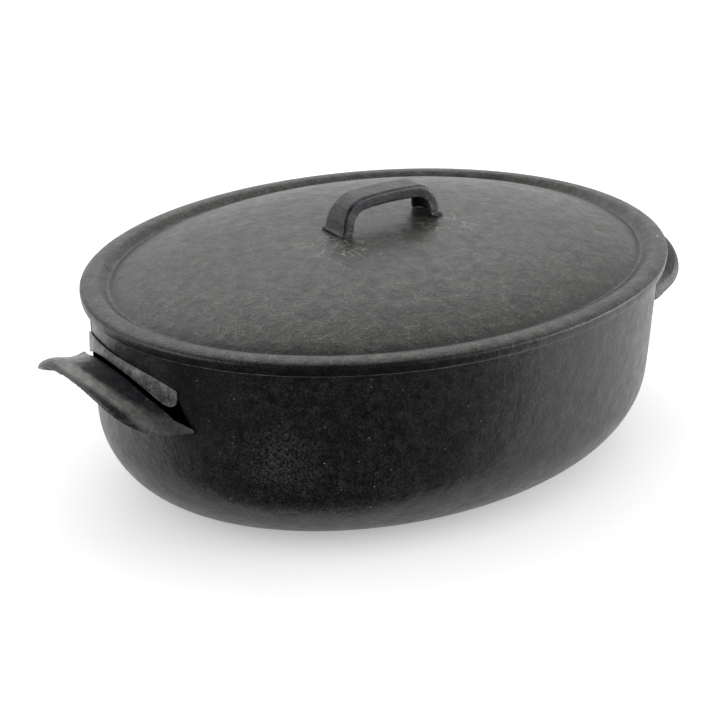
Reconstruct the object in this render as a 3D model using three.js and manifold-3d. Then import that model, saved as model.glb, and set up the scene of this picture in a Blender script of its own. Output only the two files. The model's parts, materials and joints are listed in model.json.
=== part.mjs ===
// Oval roasting pan with a domed lid. Millimetres, +Z up.
// The origin is the middle of the flat base, and X runs through both side handles.
// Every oval is the lid's edge drawn in by an even distance, called its inset.

import * as THREE from 'three';
import { mergeVertices } from 'three/addons/utils/BufferGeometryUtils.js';
import Module from 'manifold-3d';

const wasm = await Module();
wasm.setup();

// Lid edge and fits
const lidLength = 410;
const lidWidth = 320;
const seatGap = 0.3;
const contactGap = 0.3;
const mouthPlay = 1.7;

// Pan body
const rimHeight = 133.2;
const rimInset = 5.3;
const wallThickness = 4;
const floorThickness = 5;
const wallDraft = 4.15;
const cornerDepth = 57.9;
const cornerHeight = 55.4;

// Lid rim and dome
const lipTuck = 0.7;
const apronThickness = 2.5;
const apronDepth = 4.7;
const shoulderRise = 1;
const crestSetback = 4.5;
const crestThickness = 4.9;
const crestRun = 4.7;
const valleyRun = 3.9;
const valleyDepth = 5;
const lidThickness = 3.2;
const domeRise = 26.1;
const domeFlatness = 2.3;
const domeRoundness = 0.75;

// Loop handle on the lid
const loopLength = 78;
const loopHeight = 24.2;
const loopFootWidth = 22.2;
const loopTopWidth = 17.5;
const loopCorner = 17;
const loopCrown = 0.9;
const loopLean = 0.8;
const loopDepth = 8.3;
const loopWeb = 3;
const loopEdge = 2.2;
const footFlare = 1.6;
const footHeight = 2.6;

// Wing handles on the wall
const wingReach = 34.3;
const wingSpan = 116.2;
const wingEndRun = 1.5;
const wingSquareness = 3.4;
const wingFlare = 6;
const wingFlareRun = 22;
const wingFlareLift = 2.5;
const wingTurn = 3.5;
const wingDrop = 23.6;
const wingDroop = 20.2;
const wingDroopPower = 2.2;
const wingTilt = 0.19;
const wingDepth = 4.5;
const wingRidge = 1.3;
const wingRoll = 10;
const wingThickness = 2.8;
const slotGap = 3.6;
const slotFlare = 1.5;
const wingFootHeight = 5;
const wedgeHeight = 6;

// Plates on the wall above the wings
const plateSpan = 107;
const plateLift = 7.8;
const plateHeight = 4.7;
const plateEndDrop = 7.5;
const plateCorner = 11;
const plateThickness = 2.8;
const plateEndTaper = 0.65;
const plateFeather = 0.5;

// Fineness of the curves
const ovalSteps = 72;
const cornerSteps = 8;
const domeSteps = 9;
const wingSteps = 56;
const rollSteps = 4;
const plateSteps = 11;

const ovalDifference = ( lidLength - lidWidth ) / 2;
const wingHalfSpan = wingSpan / 2;

// Turned and lofted shapes

// Turns a profile of (inset, height) points round Z and squeezes it into the oval. Rings wider
// than the core keep their inset all round, and rings inside it shrink in proportion.
function turnOval( profile, coreInset ) {

	const points = profile.map( ( p ) => new THREE.Vector2( Math.max( 0, lidLength / 2 - p.x ), p.y ) );
	const geometry = new THREE.LatheGeometry( points, ovalSteps ).rotateX( Math.PI / 2 );
	const place = geometry.attributes.position;
	const core = lidLength / 2 - coreInset;

	for ( let i = 0; i < place.count; i ++ ) {

		const radius = Math.hypot( place.getX( i ), place.getY( i ) );
		place.setY( i, place.getY( i ) * ( 1 - ovalDifference / Math.max( radius, core ) ) );

	}

	return geometry;

}

// Joins rings of equal counts into one closed skin and closes both ends with the given caps.
function skinRings( rings, startCap, endCap ) {

	const count = rings[ 0 ].length;
	const faces = [];

	for ( let i = 0; i + 1 < rings.length; i ++ ) {

		for ( let j = 0; j < count; j ++ ) {

			const a = i * count + j;
			const b = i * count + ( j + 1 ) % count;
			faces.push( a, b, a + count, b, b + count, a + count );

		}

	}

	const last = ( rings.length - 1 ) * count;
	startCap.forEach( ( [ a, b, c ] ) => faces.push( a, c, b ) );
	endCap.forEach( ( [ a, b, c ] ) => faces.push( last + a, last + b, last + c ) );

	const geometry = new THREE.BufferGeometry().setFromPoints( rings.flat() );
	geometry.setIndex( faces );
	return geometry;

}

// Triangles that close a ring from its first point.
function fanCap( count ) {

	return Array.from( { length: count - 2 }, ( _, i ) => [ 0, i + 1, i + 2 ] );

}

// Triangles that fill an outline of any shape, turning the same way as the outline.
function outlineCap( outline ) {

	const faces = THREE.ShapeUtils.triangulateShape( outline, [] );
	const first = faces[ 0 ].map( ( i ) => outline[ i ] );
	const alike = THREE.ShapeUtils.isClockWise( first ) === THREE.ShapeUtils.isClockWise( outline );
	return alike ? faces : faces.map( ( face ) => face.toReversed() );

}

function toSolid( geometry ) {

	const bare = geometry.clone();
	bare.deleteAttribute( 'normal' );
	bare.deleteAttribute( 'uv' );
	const merged = mergeVertices( bare );
	return new wasm.Manifold( new wasm.Mesh( {
		numProp: 3,
		vertProperties: new Float32Array( merged.attributes.position.array ),
		triVerts: new Uint32Array( merged.index.array ),
	} ) );

}

function toGeometry( solid ) {

	const mesh = solid.getMesh();
	const geometry = new THREE.BufferGeometry();
	geometry.setAttribute( 'position', new THREE.BufferAttribute( mesh.vertProperties, 3 ) );
	geometry.setIndex( new THREE.BufferAttribute( mesh.triVerts, 1 ) );
	return geometry;

}

// Pan body

// Inset of the pan's wall at a height: skin is 0 on the outside and the wall's thickness inside,
// and bottom is the height at which the bottom corner ends.
function wallInset( z, skin, bottom ) {

	const below = Math.max( 0, cornerHeight - z ) / ( cornerHeight - bottom );
	const corner = ( cornerDepth - skin ) * ( 1 - Math.sqrt( Math.max( 0, 1 - below * below ) ) );
	return rimInset + skin + wallDraft * ( 1 - z / rimHeight ) + corner;

}

// Points of one skin of the wall, from its bottom to the top of the corner.
function cornerPoints( skin, bottom ) {

	return Array.from( { length: cornerSteps + 1 }, ( _, i ) => {

		const turn = ( i / cornerSteps ) * Math.PI / 2;
		const z = cornerHeight - ( cornerHeight - bottom ) * Math.cos( turn );
		return new THREE.Vector2( wallInset( z, skin, bottom ), z );

	} );

}

function rimPoints() {

	const round = wallThickness / 2;
	return [ 0, 1, 2, 3, 4 ].map( ( i ) => {

		const turn = ( i / 4 ) * Math.PI;
		const z = rimHeight - round + round * Math.sin( turn );
		return new THREE.Vector2( wallInset( z, 0, 0 ) + round * ( 1 - Math.cos( turn ) ), z );

	} );

}

function panBody() {

	const outside = cornerPoints( 0, 0 );
	const inside = cornerPoints( wallThickness, floorThickness ).reverse();
	const axis = lidLength / 2;
	const profile = [
		new THREE.Vector2( axis, 0 ),
		...outside,
		...rimPoints(),
		...inside,
		new THREE.Vector2( axis, floorThickness ),
	];
	return turnOval( profile, wallInset( 0, 0, 0 ) );

}

// Lid

const seatZ = rimHeight + seatGap;
const crestInset = rimInset + crestSetback;
const crestZ = seatZ + crestThickness;
const shoulderZ = seatZ + shoulderRise;
const stepInset = rimInset + wallThickness + mouthPlay;
const valleyInset = crestInset + crestRun + valleyRun;
const valleyZ = crestZ - valleyDepth;
const domeLength = lidLength / 2 - valleyInset;

// Height of the dome over a place given as a share of the way from its middle to its foot.
function domeZ( share ) {

	const fall = 1 - Math.min( 1, share ) ** domeFlatness;
	return valleyZ + domeRise * fall ** domeRoundness;

}

// Points of the dome from its middle to its foot, lowered by drop.
function domePoints( drop ) {

	return Array.from( { length: domeSteps + 1 }, ( _, i ) => {

		const share = Math.sin( ( i / domeSteps ) * Math.PI / 2 );
		return new THREE.Vector2( lidLength / 2 - share * domeLength, domeZ( share ) - drop );

	} );

}

// Outside of the rim, from the widest line over the shoulder to the crest.
function shoulderPoints() {

	return Array.from( { length: 6 }, ( _, i ) => {

		const turn = ( i / 5 ) * Math.PI / 2;
		const inset = crestInset * ( 1 - Math.cos( turn ) );
		return new THREE.Vector2( inset, shoulderZ + ( crestZ - shoulderZ ) * Math.sin( turn ) );

	} );

}

function lid() {

	const apronInset = lipTuck + apronThickness;
	const lipZ = seatZ - apronDepth;
	const channel = ( rimInset - apronInset ) / 2;
	const profile = [
		...domePoints( lidThickness ),
		new THREE.Vector2( stepInset, valleyZ - lidThickness ),
		new THREE.Vector2( rimInset + wallThickness, seatZ ),
		new THREE.Vector2( apronInset + channel, seatZ ),
		new THREE.Vector2( apronInset, seatZ - channel ),
		new THREE.Vector2( apronInset, lipZ ),
		new THREE.Vector2( lipTuck + lipTuck, lipZ ),
		new THREE.Vector2( lipTuck, lipZ + lipTuck ),
		...shoulderPoints(),
		new THREE.Vector2( crestInset + crestRun / 2, crestZ - valleyDepth / 10 ),
		new THREE.Vector2( valleyInset - valleyRun / 2, valleyZ + valleyDepth / 5 ),
		...domePoints( 0 ).reverse(),
	];
	return turnOval( profile, valleyInset );

}

// Everything below the lid's dome and a small gap above it.
function domeCutter() {

	const axis = lidLength / 2;
	const profile = [
		new THREE.Vector2( axis, 0 ),
		new THREE.Vector2( valleyInset, 0 ),
		...domePoints( - contactGap ).reverse(),
	];
	return toSolid( turnOval( profile, valleyInset ) );

}

// Loop handle on the lid

const loopFootZ = domeZ( loopLength / 2 / domeLength );

// The loop's outer line in the X-Z plane, from the left foot over the top to the right foot.
function loopLine() {

	const foot = loopLength / 2;
	const knee = foot - loopLean;
	const top = loopFootZ + loopHeight - loopCrown;
	const straight = knee - loopCorner;
	const pull = loopCorner * 0.55;
	const slope = 2 * loopCrown / straight;
	const line = new THREE.Path();
	line.moveTo( - foot, loopFootZ + footHeight );
	line.lineTo( - knee, top - loopCorner );
	line.bezierCurveTo( - knee, top - pull, - straight - pull, top - pull * slope, - straight, top );
	line.quadraticCurveTo( 0, top + 2 * loopCrown, straight, top );
	line.bezierCurveTo( straight + pull, top - pull * slope, knee, top - pull, knee, top - loopCorner );
	line.lineTo( foot, loopFootZ + footHeight );
	return line.getPoints( 8 );

}

// One U-shaped section of the loop, open towards the finger gap.
function loopSection( point, inward, halfWidth ) {

	const round = Array.from( { length: 4 }, ( _, i ) => {

		const turn = ( i / 3 ) * Math.PI / 2;
		return [ halfWidth - loopEdge + loopEdge * Math.sin( turn ), loopEdge * ( 1 - Math.cos( turn ) ) ];

	} );
	const half = [
		...round,
		[ halfWidth, loopDepth ],
		[ halfWidth - loopWeb, loopDepth ],
		[ halfWidth - loopWeb, loopWeb ],
	];
	const other = half.map( ( [ across, depth ] ) => [ - across, depth ] ).reverse();
	return [ ...other.toReversed(), ...half.toReversed() ].map( ( [ across, depth ] ) => new THREE.Vector3(
		point.x + inward.x * depth,
		across,
		point.y + inward.y * depth,
	) );

}

function lidHandle() {

	const line = loopLine();
	const foot = loopLength / 2 + footFlare;
	const sink = loopFootZ - 2 * footHeight;
	const outerEnds = ( side ) => [
		new THREE.Vector2( side * foot, sink ),
		new THREE.Vector2( side * foot, loopFootZ + footHeight / 2 ),
	];
	const points = [ ...outerEnds( - 1 ), ...line, ...outerEnds( 1 ).reverse() ];
	const rings = points.map( ( point, i ) => {

		const flared = i < 2 || i > points.length - 3;
		const before = line[ Math.max( 0, Math.min( line.length - 1, i - 3 ) ) ];
		const after = line[ Math.max( 0, Math.min( line.length - 1, i - 1 ) ) ];
		const along = after.clone().sub( before ).normalize();
		const upright = new THREE.Vector2( point.x < 0 ? 1 : - 1, 0 );
		const inward = flared || along.length() === 0 ? upright : new THREE.Vector2( along.y, - along.x );
		const rise = Math.max( 0, Math.min( 1, ( point.y - loopFootZ ) / loopHeight ) );
		const width = THREE.MathUtils.lerp( loopFootWidth, loopTopWidth, rise );
		return loopSection( point, inward, width / 2 + ( flared ? footFlare : 0 ) );

	} );
	const cap = outlineCap( rings[ 0 ].map( ( p ) => new THREE.Vector2( p.x, p.y ) ) );
	return toGeometry( toSolid( skinRings( rings, cap, cap ) ).subtract( domeCutter() ) );

}

// Wing handles, built for the left end

// Distance from the Y axis to the pan's outside at a side distance and a height.
function wallX( y, z, outward ) {

	const inset = wallInset( z, 0, 0 ) - outward;
	const across = y / ( lidWidth / 2 - inset );
	return ( lidLength / 2 - inset ) * Math.sqrt( Math.max( 0, 1 - across * across ) );

}

const wingEdgeMid = rimHeight - wingDrop;
const wingOuterX = wallX( 0, wingEdgeMid, wingReach );
const wingMiddleX = wallX( wingHalfSpan, wingEdgeMid, wingEndRun );
const wingHalfLength = wingOuterX - wingMiddleX;

// Height of the wing's lower edge: it droops towards both ends and leans down to the wall.
function wingEdgeZ( x, y ) {

	const droop = wingDroop * ( Math.abs( y ) / wingHalfSpan ) ** wingDroopPower;
	return wingEdgeMid - droop - wingTilt * ( wingOuterX - Math.abs( x ) );

}

// A closed ring round the wing, drawn in from its outline, at a height over the lower edge.
// Near the wall it grows wider and rises a little, so that the wing's feet are splayed.
function wingRing( drawnIn, height ) {

	return Array.from( { length: wingSteps }, ( _, i ) => {

		const turn = ( i / wingSteps ) * Math.PI * 2;
		const square = ( value ) => Math.sign( value ) * Math.abs( value ) ** ( 2 / wingSquareness );
		const x = - wingMiddleX + ( wingHalfLength - drawnIn ) * square( Math.cos( turn ) );
		const y = ( wingHalfSpan - drawnIn ) * square( Math.sin( turn ) );
		const splay = THREE.MathUtils.clamp( 1 - ( - x - wingMiddleX ) / wingFlareRun, 0, 1 ) ** 2;
		const wide = 1 + wingFlare / wingHalfSpan * splay;
		const z = wingEdgeZ( x, y ) + height + wingFlareLift * splay;
		return new THREE.Vector3( x, y * wide, z );

	} );

}

// The wing filled solid, or the hollow below it when skin is the shell's thickness.
function wingBlock( skin, below ) {

	const crest = wingDepth + wingRidge - skin;
	const rolled = Array.from( { length: rollSteps + 1 }, ( _, i ) => {

		const turn = ( i / rollSteps ) * Math.PI / 2;
		return wingRing( skin + ( wingRoll - skin ) * ( 1 - Math.cos( turn ) ), crest * Math.sin( turn ) );

	} );
	const deep = wingHalfLength * 0.9;
	const rings = [
		wingRing( skin, - below ),
		...( below > 0 ? rolled : rolled.slice( 1 ) ),
		wingRing( wingRoll * 1.5, wingDepth + wingRidge / 2 - skin ),
		wingRing( wingRoll * 2, wingDepth - skin ),
		wingRing( ( wingRoll * 2 + deep ) / 2, wingDepth - skin ),
		wingRing( deep, wingDepth - skin ),
	];
	const cap = fanCap( wingSteps );
	return toSolid( skinRings( rings, cap, cap ) );

}

// The pan's outside grown by the slot behind the wing. The slot closes to a contact gap at the
// wing's two feet and opens upwards from them.
function slotCutter() {

	const footZ = wingEdgeZ( wallX( wingHalfSpan, wingEdgeMid, 0 ), wingHalfSpan ) + wingFootHeight;
	const topZ = rimHeight - wallThickness;
	const heights = [ cornerHeight, footZ, footZ + wedgeHeight, topZ ];
	const axis = lidLength / 2;
	const profile = heights.map( ( z, i ) => {

		const gap = i < 2 ? contactGap : slotGap;
		return new THREE.Vector2( wallInset( z, 0, 0 ) - gap, z );

	} );
	const geometry = turnOval( [
		new THREE.Vector2( axis, cornerHeight ),
		...profile,
		new THREE.Vector2( axis, topZ ),
	], wallInset( cornerHeight, 0, 0 ) );
	const place = geometry.attributes.position;

	for ( let i = 0; i < place.count; i ++ ) {

		const share = Math.min( 1, Math.abs( place.getY( i ) ) / wingHalfSpan );
		const flare = place.getZ( i ) > footZ + wedgeHeight / 2 ? slotFlare * share * share : 0;
		place.setX( i, place.getX( i ) * ( 1 + flare / wingMiddleX ) );

	}

	return toSolid( geometry );

}

// The wing sits a little turned about an upright line through the middle of its root.
function wing() {

	const root = wallX( 0, wingEdgeMid, 0 );
	const shell = wingBlock( 0, 0 ).subtract( wingBlock( wingThickness, wingDepth ) );
	const turned = shell.translate( root, 0, 0 ).rotate( 0, 0, wingTurn ).translate( - root, 0, 0 );
	return toGeometry( turned.subtract( slotCutter() ) );

}

// Plates on the wall, built for the left end

function plateLowZ( y ) {

	return wingEdgeZ( wallX( y, wingEdgeMid, 0 ), y ) + plateLift;

}

// One upright section of the plate: thick at its lower edge, and feathered out at its upper edge
// and towards its ends.
function plateSection( y ) {

	const full = plateThickness * ( 1 - plateEndTaper * ( Math.abs( y ) / ( plateSpan / 2 ) ) ** 3 );
	const fromCorner = Math.abs( y ) - ( plateSpan / 2 - plateCorner );
	const share = Math.min( 1, Math.max( 0, fromCorner ) / plateCorner );
	const low = plateLowZ( y ) + plateCorner * ( 1 - Math.sqrt( 1 - share * share ) );
	const drop = plateEndDrop * ( Math.abs( y ) / ( plateSpan / 2 ) ) ** 3;
	const high = plateLowZ( 0 ) + plateHeight - drop;
	const outside = [ 0, 0.35, 0.7, 1 ].map( ( rise ) => {

		const thick = THREE.MathUtils.lerp( full, plateFeather, rise * rise );
		const z = THREE.MathUtils.lerp( low, high, rise );
		return new THREE.Vector3( - wallX( y, z, contactGap + thick ), y, z );

	} );
	const inside = [ high, low ].map( ( z ) => new THREE.Vector3( - wallX( y, z, contactGap ), y, z ) );
	return [ ...outside, ...inside ];

}

function plate() {

	const rings = Array.from( { length: 2 * plateSteps + 1 }, ( _, i ) => {

		const turn = ( i / plateSteps - 1 ) * Math.PI / 2;
		return plateSection( plateSpan / 2 * Math.sin( turn ) );

	} );
	const cap = fanCap( rings[ 0 ].length );
	return skinRings( rings, cap, cap );

}

// Assembly

function addPiece( name, geometry, finish, turned = false ) {

	const mesh = new THREE.Mesh( geometry, new THREE.MeshStandardMaterial( finish ) );
	mesh.name = name;
	mesh.rotation.z = turned ? Math.PI : 0;
	pan.add( mesh );

}

const pan = new THREE.Group();
const wallFinish = { color: 0x2c2d2c, roughness: 0.55, metalness: 0.3 };
const lidFinish = { color: 0x343534, roughness: 0.5, metalness: 0.3 };
const handleFinish = { color: 0x262726, roughness: 0.6, metalness: 0.3 };

addPiece( 'pan_body', panBody(), wallFinish );
addPiece( 'left_handle_plate', plate(), wallFinish );
addPiece( 'right_handle_plate', plate(), wallFinish, true );
addPiece( 'left_side_handle', wing(), handleFinish );
addPiece( 'right_side_handle', wing(), handleFinish, true );
addPiece( 'lid', lid(), lidFinish );
addPiece( 'lid_handle', lidHandle(), handleFinish );

export default pan;
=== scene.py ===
"""Oval roasting pan: black-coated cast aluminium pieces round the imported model."""

import json
import math

import bpy
from bpy.props import FloatProperty, FloatVectorProperty, IntProperty, PointerProperty
from mathutils import Matrix, Vector

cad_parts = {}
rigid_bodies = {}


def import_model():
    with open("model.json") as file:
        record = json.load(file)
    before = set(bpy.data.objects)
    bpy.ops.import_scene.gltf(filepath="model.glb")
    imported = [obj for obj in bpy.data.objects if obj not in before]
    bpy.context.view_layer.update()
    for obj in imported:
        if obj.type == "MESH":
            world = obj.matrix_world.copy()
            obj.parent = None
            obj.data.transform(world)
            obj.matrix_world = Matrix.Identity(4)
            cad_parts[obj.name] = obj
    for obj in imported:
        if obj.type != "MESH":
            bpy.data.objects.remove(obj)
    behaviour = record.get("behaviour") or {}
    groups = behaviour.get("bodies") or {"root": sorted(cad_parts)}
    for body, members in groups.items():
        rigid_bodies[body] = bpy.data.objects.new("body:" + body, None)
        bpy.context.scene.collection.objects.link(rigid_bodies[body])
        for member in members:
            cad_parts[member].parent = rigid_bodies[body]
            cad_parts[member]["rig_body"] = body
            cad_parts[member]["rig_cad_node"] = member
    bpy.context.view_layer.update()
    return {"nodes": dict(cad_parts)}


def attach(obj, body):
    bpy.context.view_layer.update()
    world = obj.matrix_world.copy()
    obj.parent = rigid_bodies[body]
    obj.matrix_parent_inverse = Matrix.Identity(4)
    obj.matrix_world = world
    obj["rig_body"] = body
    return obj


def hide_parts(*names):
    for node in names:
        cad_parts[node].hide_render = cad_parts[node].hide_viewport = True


bl_info = {
    "name": "Oval roasting pan",
    "version": (1, 0, 0),
    "blender": (4, 5, 0),
    "location": "3D View > Sidebar > Roaster",
    "description": "Builds a cast roasting pan with a domed lid and its studio",
    "category": "Add Mesh",
}

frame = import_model()
MM = 0.001


def linear(hex_colour):
    """Turn an sRGB hex colour such as #242524 into linear red, green and blue."""
    parts = [int(hex_colour[i : i + 2], 16) / 255 for i in (1, 3, 5)]
    return tuple(
        part / 12.92 if part <= 0.04045 else ((part + 0.055) / 1.055) ** 2.4
        for part in parts
    )


# Settings


class CoatingSettings(bpy.types.PropertyGroup):
    """Colours and surface sizes of the black coating on the cast metal; the pan's colour is
    painted darker and the plates' lighter, as painted shade and painted light.
    """

    # Painted shade: darker than the lid's coating, to darken the pan's wall
    shaded_pan_colour: FloatVectorProperty(
        name="Pan coating",
        description="Colour of the coating on the pan's wall",
        subtype="COLOR",
        min=0,
        max=1,
        default=linear("#131315"),
    )
    lid_colour: FloatVectorProperty(
        name="Lid coating",
        description="Colour of the coating on the lid",
        subtype="COLOR",
        min=0,
        max=1,
        default=linear("#262724"),
    )
    # Painted light: far lighter than the pan's coating, for the light falling on the plates
    lit_plate_colour: FloatVectorProperty(
        name="Plate coating",
        description="Colour of the coating on the plates above the wings",
        subtype="COLOR",
        min=0,
        max=1,
        default=linear("#434443"),
    )
    handle_colour: FloatVectorProperty(
        name="Handle coating",
        description="Colour of the coating on the handles",
        subtype="COLOR",
        min=0,
        max=1,
        default=linear("#1d1d22"),
    )
    # Also the colour of the painted highlight along the left wing's ridge
    scuff_and_highlight_colour: FloatVectorProperty(
        name="Scuffs",
        description="Colour of rubbed places and pale specks",
        subtype="COLOR",
        min=0,
        max=1,
        default=linear("#85877f"),
    )
    metal_colour: FloatVectorProperty(
        name="Bare metal",
        description="Colour of the aluminium in small chips",
        subtype="COLOR",
        min=0,
        max=1,
        default=linear("#c9cacb"),
    )
    wave_length: FloatProperty(
        name="Cast waves",
        description="Width of the soft waves that the sand mould leaves",
        subtype="DISTANCE",
        unit="LENGTH",
        default=22 * MM,
    )
    mottle_length: FloatProperty(
        name="Mottling",
        description="Width of the cloudy patches in the coating",
        subtype="DISTANCE",
        unit="LENGTH",
        default=6 * MM,
    )
    grain_length: FloatProperty(
        name="Grain",
        description="Width of the coating's grain",
        subtype="DISTANCE",
        unit="LENGTH",
        default=1.6 * MM,
    )
    fleck_length: FloatProperty(
        name="Flecks",
        description="Width of the fine pale flecks, as coarse as they need to show",
        subtype="DISTANCE",
        unit="LENGTH",
        default=1.3 * MM,
    )


class CastingSettings(bpy.types.PropertyGroup):
    """How softly the castings' edges are rounded."""

    oval_levels: IntProperty(
        name="Oval fineness",
        description="Times that the pan's and the lid's faces are divided",
        min=0,
        max=3,
        default=2,
    )
    handle_grid: FloatProperty(
        name="Handle grid",
        description="Size of the faces on the handles",
        subtype="DISTANCE",
        unit="LENGTH",
        default=0.6 * MM,
    )
    handle_softness: IntProperty(
        name="Handle softness",
        description="Times that the handles' edges are smoothed",
        min=0,
        max=40,
        default=3,
    )
    loop_softness: IntProperty(
        name="Loop softness",
        description="Times that the lid handle's edges are smoothed",
        min=0,
        max=40,
        default=12,
    )
    plate_edge: FloatProperty(
        name="Plate edge",
        description="Rounding of the edges of the plates above the wings",
        subtype="DISTANCE",
        unit="LENGTH",
        default=0.5 * MM,
    )


class StudioSettings(bpy.types.PropertyGroup):
    """The photograph's camera and the studio round the pan."""

    azimuth: FloatProperty(
        name="Camera azimuth",
        description="Turn of the camera round the pan",
        subtype="ANGLE",
        unit="ROTATION",
        default=math.radians(-35.868),
    )
    elevation: FloatProperty(
        name="Camera elevation",
        description="Height angle of the camera",
        subtype="ANGLE",
        unit="ROTATION",
        default=math.radians(24.509),
    )
    roll: FloatProperty(
        name="Camera roll",
        description="Tilt of the picture",
        subtype="ANGLE",
        unit="ROTATION",
        default=math.radians(0.839),
    )
    distance: FloatProperty(
        name="Camera distance",
        description="Distance from the point looked at",
        subtype="DISTANCE",
        unit="LENGTH",
        default=1278.07 * MM,
    )
    aside: FloatProperty(
        name="Look aside",
        description="Point looked at, to the right of the pan's middle",
        subtype="DISTANCE",
        unit="LENGTH",
        default=-13.575 * MM,
    )
    above: FloatProperty(
        name="Look above",
        description="Point looked at, above the pan's base",
        subtype="DISTANCE",
        unit="LENGTH",
        default=54.941 * MM,
    )
    lens: FloatProperty(
        name="Lens",
        description="Focal length in millimetres on a 36 mm sensor",
        unit="CAMERA",
        default=93.73,
    )
    back_power: FloatProperty(
        name="Back light",
        description="Power of the large lamp behind and over the pan",
        subtype="POWER",
        unit="POWER",
        default=11,
    )
    left_power: FloatProperty(
        name="Left light",
        description="Power of the lamp at the left",
        subtype="POWER",
        unit="POWER",
        default=8,
    )
    right_power: FloatProperty(
        name="Right light",
        description="Power of the small lamp at the right",
        subtype="POWER",
        unit="POWER",
        default=17,
    )
    floor_lift: FloatProperty(
        name="Paper lift",
        description="How much brighter the paper looks than its light, to keep it white",
        subtype="FACTOR",
        min=0,
        max=1,
        default=0.33,
    )
    sky_level: FloatProperty(
        name="Room level",
        description="Brightness of the white room's light, where 1 is white",
        subtype="FACTOR",
        min=0,
        max=1,
        default=0.8,
    )


# Nodes

ADD = {"operation": "ADD", "use_clamp": True}
MULTIPLY = {"operation": "MULTIPLY"}
SMOOTH_STEP = {"interpolation_type": "SMOOTHSTEP"}


def add_node(tree, kind, settings=None, links=None):
    """Add a node, set its values and link its inputs to sockets or to nodes' first outputs."""
    node = tree.nodes.new(kind)
    for key, value in (settings or {}).items():
        if isinstance(key, str) and hasattr(node, key):
            setattr(node, key, value)
        else:
            node.inputs[key].default_value = value
    for key, source in (links or {}).items():
        if isinstance(source, bpy.types.Node):
            source = next(output for output in source.outputs if output.enabled)
        tree.links.new(source, node.inputs[key])
    return node


def empty_tree(owner):
    """Give a material or a world a node tree with nothing in it."""
    owner.use_nodes = True
    owner.node_tree.nodes.clear()
    return owner.node_tree


# Marks on the coating, each a strength that nodes work out from the place on the piece


def soft_region(tree, *limits, unit=MM):
    """Mark where each value is past its limits: none at the first number, full at the second."""
    mark = None
    for value, (none, full) in limits:
        step = add_node(
            tree,
            "ShaderNodeMapRange",
            {**SMOOTH_STEP, "From Min": none * unit, "From Max": full * unit},
            {"Value": value},
        )
        if mark is None:
            mark = step
        else:
            mark = add_node(tree, "ShaderNodeMath", MULTIPLY, {0: mark, 1: step})
    return mark


def round_spots(tree, place, spots, core):
    """Mark round spots, each full over the core's share of its radius and gone at its edge.

    A spot is its middle and radius in millimetres and its strength. No two of them meet.
    """
    marks = None
    for x, y, z, radius, strength in spots:
        away = add_node(
            tree,
            "ShaderNodeVectorMath",
            {"operation": "DISTANCE", 1: (x * MM, y * MM, z * MM)},
            {0: place},
        )
        spot = add_node(
            tree,
            "ShaderNodeMapRange",
            {
                **SMOOTH_STEP,
                "From Min": radius * MM,
                "From Max": radius * core * MM,
                "To Max": strength,
            },
            {"Value": away},
        )
        if marks is None:
            marks = spot
        else:
            marks = add_node(tree, "ShaderNodeMath", ADD, {0: marks, 1: spot})
    return marks


# Painted shade on the pan's ends, in the slots between the wings and the wall: pairs are none and
# full, in millimetres
SHADE_ALONG = (150, 165)
SHADE_OUTWARD = (0, 20)
SLOT_LEAN = 0.52
SLOT_SIDE = (112, 104)
SLOT_FOOT = (79, 85)
SLOT_TOP = (112, 108)
THIN_SHADE_OUTER = (105, 58)
THIN_SHADE_INNER = (34, 54)
THIN_SHADE_FOOT = (62, 98)
THIN_SHADE_STRENGTH = 0.55


def slot_shade_band(tree, place, facing):
    """Mark painted shade on the outer wall in the slots behind the wings, thinner beside their
    plates.
    """
    outward = add_node(
        tree, "ShaderNodeVectorMath", {"operation": "DOT_PRODUCT"}, {0: place, 1: facing}
    )
    folded = add_node(tree, "ShaderNodeVectorMath", {"operation": "ABSOLUTE"}, {0: place})
    along, across, up = add_node(tree, "ShaderNodeSeparateXYZ", links={"Vector": folded}).outputs
    side = add_node(
        tree, "ShaderNodeMath", {"operation": "MULTIPLY_ADD", 1: SLOT_LEAN}, {0: up, 2: across}
    )
    slot = soft_region(tree, (side, SLOT_SIDE), (up, SLOT_FOOT), (up, SLOT_TOP))
    shade_beside_plates = soft_region(tree, (across, THIN_SHADE_OUTER), (across, THIN_SHADE_INNER), (up, THIN_SHADE_FOOT))
    thin = add_node(tree, "ShaderNodeMath", {**MULTIPLY, 1: THIN_SHADE_STRENGTH}, {0: shade_beside_plates})
    both = add_node(tree, "ShaderNodeMath", {"operation": "MAXIMUM"}, {0: slot, 1: thin})
    ends = soft_region(tree, (along, SHADE_ALONG), (outward, SHADE_OUTWARD))
    return add_node(tree, "ShaderNodeMath", MULTIPLY, {0: both, 1: ends})


# The wings' outline as half an oval: its middle, its reach along and across, in millimetres.
# Pairs are none and full, as shares of that outline.
WING_MIDDLE = 185
WING_REACH = (44, 62)
# Where the painted highlight lies along the wings' ridge, how it fades towards the ends, and its
# strength
RIDGE_INNER = (0.8, 0.93)
RIDGE_OUTER = (1.1, 1.02)
RIDGE_ENDS = {"From Min": 198 * MM, "From Max": 214 * MM, "To Min": 0.35, "To Max": 1}
RIDGE_HIGHLIGHT_STRENGTH = 0.42


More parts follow.
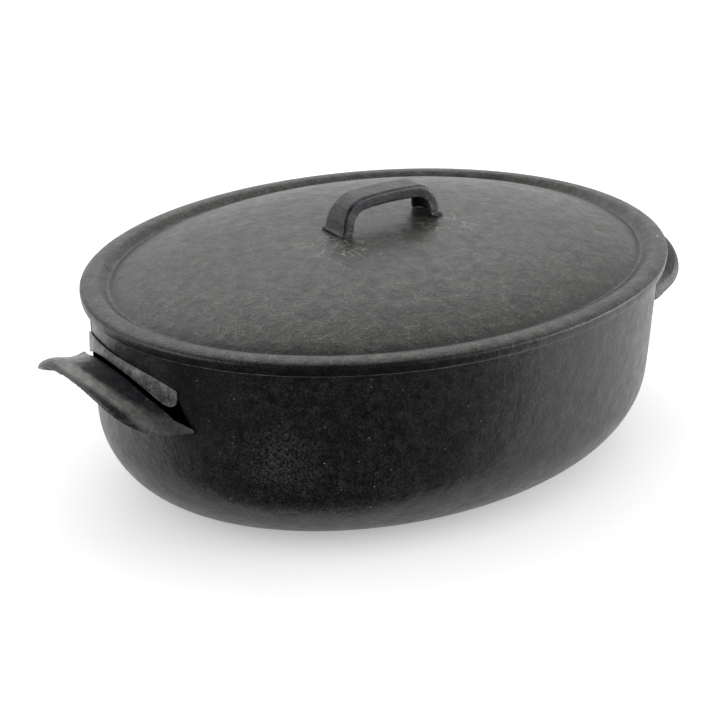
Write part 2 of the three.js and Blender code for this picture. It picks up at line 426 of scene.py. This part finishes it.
def ridge_highlight_band(tree, place, patches):
    """Mark a painted highlight along the wings' outer ridge, strongest at its middle."""
    folded = add_node(tree, "ShaderNodeVectorMath", {"operation": "ABSOLUTE"}, {0: place})
    inner = add_node(
        tree,
        "ShaderNodeVectorMath",
        {"operation": "SUBTRACT", 1: (WING_MIDDLE * MM, 0, 0)},
        {0: folded},
    )
    shares = (1 / (WING_REACH[0] * MM), 1 / (WING_REACH[1] * MM), 0)
    reach = add_node(tree, "ShaderNodeVectorMath", {**MULTIPLY, 1: shares}, {0: inner})
    away = add_node(tree, "ShaderNodeVectorMath", {"operation": "LENGTH"}, {0: reach})
    band = soft_region(tree, (away, RIDGE_INNER), (away, RIDGE_OUTER), unit=1)
    axes = add_node(tree, "ShaderNodeSeparateXYZ", links={"Vector": folded})
    middle = add_node(tree, "ShaderNodeMapRange", RIDGE_ENDS, {"Value": axes})
    wear_and_highlight = add_node(tree, "ShaderNodeMath", MULTIPLY, {0: band, 1: middle})
    patchy = add_node(tree, "ShaderNodeMath", MULTIPLY, {0: wear_and_highlight, 1: patches})
    return add_node(
        tree, "ShaderNodeMath", {**MULTIPLY, "use_clamp": True, 1: RIDGE_HIGHLIGHT_STRENGTH}, {0: patchy}
    )


# Painted shade on the lid rim's outer side, and wear on the lower edge of its apron: pairs are
# none and full, in millimetres
RIM_TOP = (138.8, 135.5)
RIM_OUTWARD = (58, 120)
RIM_PAINTED_SHADE = 0.82
APRON_ABOVE = (129.5, 129)
APRON_BELOW = (127.8, 128.2)
APRON_STRENGTH = 0.3


def mark_rim_shade_and_wear(tree, place, facing, patches):
    """Mark painted shade on the rim's outer side, which faces away from the light, and wear on the
    lower edge of its apron.
    """
    level = add_node(tree, "ShaderNodeVectorMath", {**MULTIPLY, 1: (1, 1, 0)}, {0: place})
    outward = add_node(
        tree, "ShaderNodeVectorMath", {"operation": "DOT_PRODUCT"}, {0: level, 1: facing}
    )
    up = add_node(tree, "ShaderNodeSeparateXYZ", links={"Vector": place}).outputs["Z"]
    side = soft_region(tree, (up, RIM_TOP), (outward, RIM_OUTWARD))
    dark = add_node(tree, "ShaderNodeMath", {**MULTIPLY, 1: RIM_PAINTED_SHADE}, {0: side})
    apron = soft_region(tree, (up, APRON_ABOVE), (up, APRON_BELOW))
    edge = add_node(tree, "ShaderNodeMath", MULTIPLY, {0: apron, 1: side})
    patchy = add_node(tree, "ShaderNodeMath", MULTIPLY, {0: edge, 1: patches})
    wear_and_highlight = add_node(
        tree, "ShaderNodeMath", {**MULTIPLY, "use_clamp": True, 1: APRON_STRENGTH}, {0: patchy}
    )
    return dark, wear_and_highlight


# Scratches: spacing, how far and how often they bend, length of their breaks, in millimetres.
# Pairs are none and full: of the spacing for a line's width, and of the breaking noise.
SCRATCH_SPACING = 8
SCRATCH_BEND = 5
SCRATCH_BEND_LENGTH = 9
SCRATCH_BREAK_LENGTH = 5
SCRATCH_WIDTH = (0.06, 0.02)
SCRATCH_BREAKS = (0.44, 0.56)
SCRATCH_CORE = 0.3


def scratch_lines(tree, place, spots):
    """Mark thin, broken, crossing scratches round a few spots."""
    bends = add_node(
        tree,
        "ShaderNodeTexNoise",
        {"Scale": 1 / (SCRATCH_BEND_LENGTH * MM), "Detail": 1},
        {"Vector": place},
    ).outputs["Color"]
    bent = add_node(
        tree,
        "ShaderNodeVectorMath",
        {"operation": "MULTIPLY_ADD", 1: (SCRATCH_BEND * MM,) * 3},
        {0: bends, 2: place},
    )
    cells = add_node(
        tree,
        "ShaderNodeTexVoronoi",
        {"feature": "DISTANCE_TO_EDGE", "Scale": 1 / (SCRATCH_SPACING * MM)},
        {"Vector": bent},
    )
    breaks = add_node(
        tree,
        "ShaderNodeTexNoise",
        {"Scale": 1 / (SCRATCH_BREAK_LENGTH * MM), "Detail": 2},
        {"Vector": place},
    )
    lines = soft_region(tree, (cells, SCRATCH_WIDTH), (breaks, SCRATCH_BREAKS), unit=1)
    near = round_spots(tree, place, spots, SCRATCH_CORE)
    return add_node(tree, "ShaderNodeMath", MULTIPLY, {0: lines, 1: near})


# Pale specks: their spacing, their size as a share of it, and how few of them show
SPECK_SPACING = 4.5 * MM
SPECK_DOT = {"From Min": 0.05, "From Max": 0.12, "To Min": 1, "To Max": 0}
SPECK_RARITY = {"From Min": 0.8, "From Max": 0.95}

# Flecks, which are finer on the real coating and are drawn as coarse as they need to show
FLECK_DUST = {"From Min": 0.5, "From Max": 0.7}


def pale_flecks(tree, place, settings, cloudy, amount):
    """Mark fine pale flecks, fewer where the coating is dark, and a few larger specks."""
    cells = add_node(
        tree, "ShaderNodeTexVoronoi", {"Scale": 1 / SPECK_SPACING}, {"Vector": place}
    ).outputs
    dots = add_node(tree, "ShaderNodeMapRange", SPECK_DOT, {"Value": cells["Distance"]})
    lots = add_node(tree, "ShaderNodeSeparateColor", links={"Color": cells["Color"]})
    rare = add_node(tree, "ShaderNodeMapRange", SPECK_RARITY, {"Value": lots})
    fine = add_node(
        tree,
        "ShaderNodeTexNoise",
        {"Scale": 1 / settings.fleck_length, "Detail": 3, "Roughness": 0.75},
        {"Vector": place},
    )
    dust = add_node(tree, "ShaderNodeMapRange", {**FLECK_DUST, "To Max": amount}, {"Value": fine})
    flecks = add_node(tree, "ShaderNodeMath", MULTIPLY, {0: dust, 1: cloudy})
    return add_node(
        tree,
        "ShaderNodeMath",
        {"operation": "MULTIPLY_ADD", "use_clamp": True},
        {0: dots, 1: rare, 2: flecks},
    )


# The coating

BLACK = (0, 0, 0)
CLOUD_LENGTH = 9 * MM

# How far each pattern darkens or lightens the colour, and where grain shows in rubbed places
PATCH_SHADE = {"From Min": 0.3, "From Max": 0.7, "To Min": 0.45, "To Max": 1.7}
CLOUD_SHADE = {"From Min": 0.36, "From Max": 0.64, "To Min": 0.7, "To Max": 1.3}
GRIT_SHADE = {"From Min": 0.32, "From Max": 0.7, "To Min": 0.35, "To Max": 1.9}
RUBBED_GRAIN = {"From Min": 0.42, "From Max": 0.72}
CHIP_CORE = 0.6

# Gloss: satin, a little duller where the spray is thick, and dull, with no reflection, under the
# painted shade behind the wings
COATING_IOR = 1.5
CLOUD_ROUGHNESS = {"From Min": 0.36, "From Max": 0.64, "To Min": 0.4, "To Max": 0.32}
SHADE_ROUGHNESS = 0.5
SPECULAR_LEVEL = 0.5

# Height of each pattern's relief
WAVE_HEIGHT = 0.9 * MM
MOTTLE_HEIGHT = 0.5 * MM
GRAIN_HEIGHT = 0.2 * MM


def cast_coating(
    name,
    colour,
    settings,
    flecks=0.1,
    scuffs=(),
    scratches=(),
    chips=(),
    highlighted_ridge=False,
    rim_shade_and_edge_wear=False,
    shaded_slots=False,
):
    """Non-stick coating sprayed on sand-cast aluminium and baked.

    The eye sees a satin black skin over soft waves, with cloudy patches where the spray is
    thicker, a fine grain, a few pale specks, and dull rubbed places. It may also get painted
    shade on the lid rim's side and behind the wings, and a painted highlight on a wing's ridge.
    """
    material = bpy.data.materials.new(name)
    tree = empty_tree(material)
    coordinates = add_node(tree, "ShaderNodeTexCoord").outputs
    place, facing = coordinates["Object"], coordinates["Normal"]

    # Patterns, each as wide as its real size
    waves, mottle, grain, clouds = (
        add_node(
            tree,
            "ShaderNodeTexNoise",
            {"Scale": 1 / length, "Detail": detail, "Roughness": rough, "Distortion": distortion},
            {"Vector": place},
        )
        for length, detail, rough, distortion in (
            (settings.wave_length, 1.5, 0.45, 0),
            (settings.mottle_length, 4, 0.6, 0),
            (settings.grain_length, 2, 0.7, 0),
            (CLOUD_LENGTH, 4, 0.65, 0.3),
        )
    )

    # Colour of the coating itself: cloudy and mottled, with a fine grit
    patches = add_node(tree, "ShaderNodeMapRange", PATCH_SHADE, {"Value": mottle})
    cloud_shade = add_node(tree, "ShaderNodeMapRange", CLOUD_SHADE, {"Value": clouds})
    grit = add_node(tree, "ShaderNodeMapRange", GRIT_SHADE, {"Value": grain})
    cloudy = add_node(tree, "ShaderNodeMath", MULTIPLY, {0: patches, 1: cloud_shade})
    shade = add_node(tree, "ShaderNodeMath", MULTIPLY, {0: cloudy, 1: grit})
    surface = add_node(
        tree, "ShaderNodeVectorMath", {"operation": "SCALE", 0: tuple(colour)}, {"Scale": shade}
    )

    # Marks over it, in the order in which they cover each other
    pale = pale_flecks(tree, place, settings, cloudy, flecks)
    if scuffs:
        shown = add_node(tree, "ShaderNodeMapRange", RUBBED_GRAIN, {"Value": grain})
        rubbed_and_highlit = round_spots(tree, place, scuffs, core=0)
        broken = add_node(tree, "ShaderNodeMath", MULTIPLY, {0: rubbed_and_highlit, 1: shown})
        pale = add_node(tree, "ShaderNodeMath", ADD, {0: broken, 1: pale})
    if scratches:
        drawn = scratch_lines(tree, place, scratches)
        pale = add_node(tree, "ShaderNodeMath", ADD, {0: pale, 1: drawn})
    marks = [(pale, settings.scuff_and_highlight_colour)]
    if chips:
        marks.append((round_spots(tree, place, chips, CHIP_CORE), settings.metal_colour))
    # A painted highlight along the wing's ridge, in the pale colour of the scuffs
    if highlighted_ridge:
        marks.append((ridge_highlight_band(tree, place, patches), settings.scuff_and_highlight_colour))
    # Painted shade on the rim's outer side, and wear on the apron's lower edge down to bare metal
    if rim_shade_and_edge_wear:
        dark, wear_and_highlight = mark_rim_shade_and_wear(tree, place, facing, patches)
        marks += [(dark, BLACK), (wear_and_highlight, settings.metal_colour)]
    # Painted shade in the slots between the wings and the wall
    if shaded_slots:
        slot_shade = slot_shade_band(tree, place, facing)
        marks.append((slot_shade, BLACK))
    for strength, paint in marks:
        surface = add_node(
            tree,
            "ShaderNodeMix",
            {"data_type": "RGBA", "B": (*paint, 1)},
            {"Factor": strength, "A": surface},
        )

    # Relief: waves of the mould, then the patches and the grain of the coating
    relief = None
    for pattern, height in ((waves, WAVE_HEIGHT), (mottle, MOTTLE_HEIGHT), (grain, GRAIN_HEIGHT)):
        under = {} if relief is None else {"Normal": relief}
        relief = add_node(
            tree,
            "ShaderNodeBump",
            {"Strength": 1, "Distance": height},
            {"Height": pattern, **under},
        )

    rough = add_node(tree, "ShaderNodeMapRange", CLOUD_ROUGHNESS, {"Value": clouds})
    links = {"Base Color": surface, "Roughness": rough, "Normal": relief}
    # The painted shade also dulls the coating and takes its reflection away
    if shaded_slots:
        links["Roughness"] = add_node(
            tree,
            "ShaderNodeMath",
            {"operation": "MULTIPLY_ADD", "use_clamp": True, 1: SHADE_ROUGHNESS},
            {0: slot_shade, 2: rough},
        )
        links["Specular IOR Level"] = add_node(
            tree,
            "ShaderNodeMath",
            {"operation": "MULTIPLY_ADD", 1: -SPECULAR_LEVEL, 2: SPECULAR_LEVEL},
            {0: slot_shade},
        )
    coat = add_node(tree, "ShaderNodeBsdfPrincipled", {"IOR": COATING_IOR, "Metallic": 0}, links)
    add_node(tree, "ShaderNodeOutputMaterial", links={"Surface": coat})
    return material


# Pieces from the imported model

MERGE_DISTANCE = 0.01 * MM
QUAD_FACE_ANGLE = math.radians(40)
QUAD_SHAPE_ANGLE = math.radians(80)
SMOOTH_FACTOR = 0.5
BEVEL_STEPS = 3
BEVEL_ABOVE = math.radians(35)
SHADE_SMOOTH_BELOW = math.radians(50)
LOOP_GRID_SHARE = 0.7


def copy_of(node_name, piece_name):
    """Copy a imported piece, merge its loose triangles and select only the copy."""
    node = frame["nodes"][node_name]
    bpy.ops.object.select_all(action="DESELECT")
    node.select_set(True)
    bpy.context.view_layer.objects.active = node
    bpy.ops.object.duplicate()
    piece = bpy.context.active_object
    piece.name = piece_name
    piece.data.name = piece_name
    piece.parent = None
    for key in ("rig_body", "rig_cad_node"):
        del piece[key]
    bpy.ops.object.mode_set(mode="EDIT")
    bpy.ops.mesh.select_all(action="SELECT")
    bpy.ops.mesh.remove_doubles(threshold=MERGE_DISTANCE)
    bpy.ops.mesh.customdata_custom_splitnormals_clear()
    bpy.ops.object.mode_set(mode="OBJECT")
    return piece


def apply_modifier(piece, kind, **settings):
    """Add one modifier with its settings and apply it."""
    bpy.context.view_layer.objects.active = piece
    modifier = piece.modifiers.new(kind.title(), kind)
    for key, value in settings.items():
        setattr(modifier, key, value)
    bpy.ops.object.modifier_apply(modifier=modifier.name)


def finish_piece(piece, material, body, slot, *nodes):
    """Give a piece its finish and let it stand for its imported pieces."""
    piece.data.materials.clear()
    piece.data.materials.append(material)
    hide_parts(*nodes)
    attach(piece, body)


def oval_casting(node_name, piece_name, levels):
    """Turn a faceted oval into a smooth one by subdivision."""
    piece = copy_of(node_name, piece_name)
    bpy.ops.object.mode_set(mode="EDIT")
    bpy.ops.mesh.select_all(action="SELECT")
    bpy.ops.mesh.tris_convert_to_quads(
        face_threshold=QUAD_FACE_ANGLE, shape_threshold=QUAD_SHAPE_ANGLE
    )
    bpy.ops.object.mode_set(mode="OBJECT")
    apply_modifier(piece, "SUBSURF", levels=levels, render_levels=levels)
    bpy.ops.object.shade_smooth()
    return piece


def soft_casting(node_name, piece_name, grid, softness):
    """Remesh a small casting finely and round its edges as a mould does."""
    piece = copy_of(node_name, piece_name)
    apply_modifier(piece, "REMESH", mode="VOXEL", voxel_size=grid)
    apply_modifier(piece, "SMOOTH", factor=SMOOTH_FACTOR, iterations=softness)
    bpy.ops.object.shade_smooth()
    return piece


def edged_casting(node_name, piece_name, edge):
    """Round the hard edges of a thin casting and shade the rest smooth."""
    piece = copy_of(node_name, piece_name)
    apply_modifier(
        piece,
        "BEVEL",
        width=edge,
        segments=BEVEL_STEPS,
        limit_method="ANGLE",
        angle_limit=BEVEL_ABOVE,
    )
    bpy.ops.object.shade_smooth_by_angle(angle=SHADE_SMOOTH_BELOW)
    return piece


# Worn places in millimetres: middle, radius and strength
PAN_SCUFFS = (
    (-148, -105, 70, 34, 0.16),
    (-92, -140, 58, 30, 0.06),
    (88, -137, 30, 22, 0.08),
)
LID_SCUFFS = (
    (120, -10, 150, 28, 0.16),
    (110, 45, 150, 22, 0.14),
    (-45, -6, 158, 20, 0.14),
)
LID_SCRATCHES = (
    (-46, -18, 158, 34, 0.6),
    (34, -22, 158, 28, 0.6),
)
LID_CHIPS = (
    (-196, 42, 138, 1.6, 1),
    (-150, -93, 138, 1.3, 1),
    (-95, -128, 137.5, 1, 1),
    (171, -78, 138, 1, 1),
)


class RoasterOperator:
    """What every operator of the roaster shares."""

    bl_options = {"REGISTER", "UNDO"}


class ROASTER_OT_pan(RoasterOperator, bpy.types.Operator):
    """Build the pan's body: the drafted oval wall, its round lower corner and its flat base"""

    bl_idname = "roaster.pan"
    bl_label = "Pan body"

    def execute(self, context):
        scene = context.scene
        # The pan's coating gets painted shade in the slots behind the wings
        coating = cast_coating(
            "nonstick_on_cast_aluminium_pan",
            scene.roaster_coating.shaded_pan_colour,
            scene.roaster_coating,
            flecks=0.07,
            scuffs=PAN_SCUFFS,
            shaded_slots=True,
        )
        piece = oval_casting("pan_body", "roaster_pan", scene.roaster_casting.oval_levels)
        finish_piece(piece, coating, "pan", "pan_coating", "pan_body")
        return {"FINISHED"}


class ROASTER_OT_lid(RoasterOperator, bpy.types.Operator):
    """Build the lid: the raised rim with its apron, the valley and the low dome"""

    bl_idname = "roaster.lid"
    bl_label = "Lid"

    def execute(self, context):
        scene = context.scene
        # The lid's coating gets painted shade on the rim's outer side
        coating = cast_coating(
            "nonstick_on_cast_aluminium_lid",
            scene.roaster_coating.lid_colour,
            scene.roaster_coating,
            flecks=0.26,
            scuffs=LID_SCUFFS,
            scratches=LID_SCRATCHES,
            chips=LID_CHIPS,
            rim_shade_and_edge_wear=True,
        )
        piece = oval_casting("lid", "roaster_lid", scene.roaster_casting.oval_levels)
        finish_piece(piece, coating, "lid", "lid_coating", "lid")
        return {"FINISHED"}


class ROASTER_OT_handles(RoasterOperator, bpy.types.Operator):
    """Build the two wing handles and the loop on the lid; only the left wing's ridge has a painted
    highlight
    """

    bl_idname = "roaster.handles"
    bl_label = "Handles"

    def execute(self, context):
        scene = context.scene
        colours, casting = scene.roaster_coating, scene.roaster_casting
        # The left wing's coating gets a painted highlight along its ridge; the right wing's does
        # not
        rubbed_and_highlit = cast_coating(
            "nonstick_on_cast_aluminium_rubbed", colours.handle_colour, colours, highlighted_ridge=True
        )
        plain = cast_coating("nonstick_on_cast_aluminium_handle", colours.handle_colour, colours)
        for side, coating in (("left", rubbed_and_highlit), ("right", plain)):
            node = f"{side}_side_handle"
            wing = soft_casting(
                node, f"wing_handle_{side}", casting.handle_grid, casting.handle_softness
            )
            finish_piece(wing, coating, "pan", "handle_coating", node)
        loop_grid = casting.handle_grid * LOOP_GRID_SHARE
        loop = soft_casting("lid_handle", "loop_handle", loop_grid, casting.loop_softness)
        finish_piece(loop, plain, "lid", "handle_coating", "lid_handle")
        return {"FINISHED"}


class ROASTER_OT_plates(RoasterOperator, bpy.types.Operator):
    """Build the two thin plates on the pan's ends, above the wings"""

    bl_idname = "roaster.plates"
    bl_label = "Plates above the wings"

    def execute(self, context):
        scene = context.scene
        # The plates' coating is painted lighter than the pan's, as painted light
        coating = cast_coating(
            "nonstick_on_cast_aluminium_plate",
            scene.roaster_coating.lit_plate_colour,
            scene.roaster_coating,
        )
        for side in ("left", "right"):
            node = f"{side}_handle_plate"
            plate = edged_casting(node, f"handle_plate_{side}", scene.roaster_casting.plate_edge)
            finish_piece(plate, coating, "pan", "pan_coating", node)
        return {"FINISHED"}


# Studio

WHITE = (1, 1, 1, 1)
PAPER_COLOUR = (0.9, 0.9, 0.9, 1)
CARD_COLOUR = (0.005, 0.005, 0.005, 1)
FLOOR_SIZE = (12, 12)
SENSOR_WIDTH = 36

# Black cards, in metres: width and depth, distance towards the camera, shift, tilt in degrees
CARDS = {
    "front_card": ((3.4, 2.4), 1.7, (0, 0, 1.1), 78),
    "ceiling_card": ((3.6, 2.5), 1.38, (0, 0, 1.95), 0),
    "floor_card": ((1.1, 1.38), 0.86, (-0.11, 0.08, 0.004), 0),
}

# Soft lamps, in metres: width and height, place, and the point that each faces
SOFTBOXES = {
    "back": ((3.0, 1.3), (0.4, 1.45, 1.68), (0, 0, 0.05)),
    "left": ((1.6, 1.2), (-1.7, 0.1, 0.65), (0, 0, 0.1)),
    "right": ((1.4, 0.8), (1.55, -0.95, 0.42), (0, 0, 0.08)),
}


def studio_plane(name, size, place, turn=(0, 0, 0)):
    """Add a plain sheet of the studio at its size and place."""
    bpy.ops.object.select_all(action="DESELECT")
    bpy.ops.mesh.primitive_plane_add(size=1, location=place, rotation=turn)
    sheet = bpy.context.active_object
    sheet.name = name
    sheet.scale = (*size, 1)
    return sheet


def looking_rays(tree, *kinds):
    """Give 1 for the kinds of ray that only show a surface, and 0 for those that carry light."""
    rays = add_node(tree, "ShaderNodeLightPath").outputs
    shown = rays[kinds[0]]
    for kind in kinds[1:]:
        shown = add_node(tree, "ShaderNodeMath", ADD, {0: shown, 1: rays[kind]})
    return shown


def white_paper(lift):
    """Make white paper that looks brighter than its light, so that only the near shadow stays."""
    paper = bpy.data.materials.new("white_paper_sweep")
    tree = empty_tree(paper)
    shown = looking_rays(tree, "Is Camera Ray", "Is Glossy Ray")
    raised = add_node(tree, "ShaderNodeMath", {**MULTIPLY, 1: lift}, {0: shown})
    matt = add_node(tree, "ShaderNodeBsdfDiffuse", {"Color": PAPER_COLOUR})
    glow = add_node(tree, "ShaderNodeEmission", {"Color": WHITE}, {"Strength": raised})
    both = add_node(tree, "ShaderNodeAddShader", links={0: matt, 1: glow})
    add_node(tree, "ShaderNodeOutputMaterial", links={"Surface": both})
    return paper


def white_room(level):
    """Make a room that is white where it is seen or reflected, and dimmer as light."""
    world = bpy.data.worlds.new("white_room")
    tree = empty_tree(world)
    shown = looking_rays(tree, "Is Camera Ray", "Is Glossy Ray", "Is Transmission Ray")
    dimmed = {"To Min": level, "To Max": 1}
    strength = add_node(tree, "ShaderNodeMapRange", dimmed, {"Value": shown})
    light = add_node(tree, "ShaderNodeBackground", {"Color": WHITE}, {"Strength": strength})
    add_node(tree, "ShaderNodeOutputWorld", links={"Surface": light})
    return world


def black_cards(azimuth):
    """Stand cards on the camera's side, seen only in reflections, to keep the pan's front dark."""
    card = bpy.data.materials.new("black_card")
    tree = empty_tree(card)
    flat = add_node(tree, "ShaderNodeBsdfPrincipled", {"Base Color": CARD_COLOUR, "Roughness": 1})
    add_node(tree, "ShaderNodeOutputMaterial", links={"Surface": flat})
    towards = Vector((math.sin(azimuth), -math.cos(azimuth), 0))
    for name, (size, distance, shift, tilt) in CARDS.items():
        place = towards * distance + Vector(shift)
        sheet = studio_plane(name, size, place, (math.radians(tilt), 0, azimuth))
        sheet.data.materials.append(card)
        sheet.visible_camera = False
        sheet.visible_shadow = False
        sheet.visible_diffuse = False


def softbox(name, power, size, place, target):
    """Add a large square lamp that faces a point."""
    aim = (Vector(target) - Vector(place)).to_track_quat("-Z", "Y").to_euler()
    bpy.ops.object.light_add(type="AREA", location=place, rotation=aim)
    lamp = bpy.context.active_object
    lamp.name = name
    lamp.data.shape = "RECTANGLE"
    lamp.data.size, lamp.data.size_y = size
    lamp.data.energy = power


def photo_camera(studio):
    """Place the camera as the oval of the lid in the photograph gives it."""
    azimuth, elevation, roll = studio.azimuth, studio.elevation, studio.roll
    back = Vector(
        (
            math.sin(azimuth) * math.cos(elevation),
            -math.cos(azimuth) * math.cos(elevation),
            math.sin(elevation),
        )
    )
    right = Vector((math.cos(azimuth), math.sin(azimuth), 0))
    up = back.cross(right)
    place = right * studio.aside + up * studio.above + back * studio.distance
    rolled_right = math.cos(roll) * right + math.sin(roll) * up
    rolled_up = math.cos(roll) * up - math.sin(roll) * right
    turn = Matrix((rolled_right, rolled_up, back)).transposed()
    bpy.ops.object.camera_add(location=place, rotation=turn.to_euler())
    camera = bpy.context.active_object
    camera.name = "photo_camera"
    camera.data.sensor_width = SENSOR_WIDTH
    camera.data.lens = studio.lens
    return camera


class ROASTER_OT_studio(RoasterOperator, bpy.types.Operator):
    """Set up the white floor, the soft lamps, the white room and the photograph's camera"""

    bl_idname = "roaster.studio"
    bl_label = "Studio and camera"

    def execute(self, context):
        scene = context.scene
        studio = scene.roaster_studio
        floor = studio_plane("studio_floor", FLOOR_SIZE, (0, 0, 0))
        floor.data.materials.append(white_paper(studio.floor_lift))
        scene.world = white_room(studio.sky_level)
        black_cards(studio.azimuth)
        for side, (size, place, target) in SOFTBOXES.items():
            power = getattr(studio, f"{side}_power")
            softbox(f"{side}_softbox", power, size, place, target)
        scene.camera = photo_camera(studio)
        scene.view_settings.view_transform = "Standard"
        return {"FINISHED"}


class ROASTER_PT_sidebar(bpy.types.Panel):
    """List the roaster's pieces and settings in the 3D view's sidebar"""

    bl_idname = "ROASTER_PT_sidebar"
    bl_label = "Oval roasting pan"
    bl_space_type = "VIEW_3D"
    bl_region_type = "UI"
    bl_category = "Roaster"

    def draw(self, context):
        column = self.layout.column()
        for operator in OPERATORS:
            column.operator(operator.bl_idname)
        for name in SETTINGS:
            group = getattr(context.scene, name)
            for key in group.bl_rna.properties.keys():
                if key not in {"rna_type", "name"}:
                    column.prop(group, key)


SETTINGS = {
    "roaster_coating": CoatingSettings,
    "roaster_casting": CastingSettings,
    "roaster_studio": StudioSettings,
}
OPERATORS = (
    ROASTER_OT_pan,
    ROASTER_OT_lid,
    ROASTER_OT_handles,
    ROASTER_OT_plates,
    ROASTER_OT_studio,
)
CLASSES = (*SETTINGS.values(), *OPERATORS, ROASTER_PT_sidebar)


def register():
    for cls in CLASSES:
        bpy.utils.register_class(cls)
    for name, group in SETTINGS.items():
        setattr(bpy.types.Scene, name, PointerProperty(type=group))


def unregister():
    for name in SETTINGS:
        delattr(bpy.types.Scene, name)
    for cls in reversed(CLASSES):
        bpy.utils.unregister_class(cls)


def main():
    register()
    bpy.ops.roaster.pan()
    bpy.ops.roaster.lid()
    bpy.ops.roaster.handles()
    bpy.ops.roaster.plates()
    bpy.ops.roaster.studio()


if __name__ == "__main__":
    main()
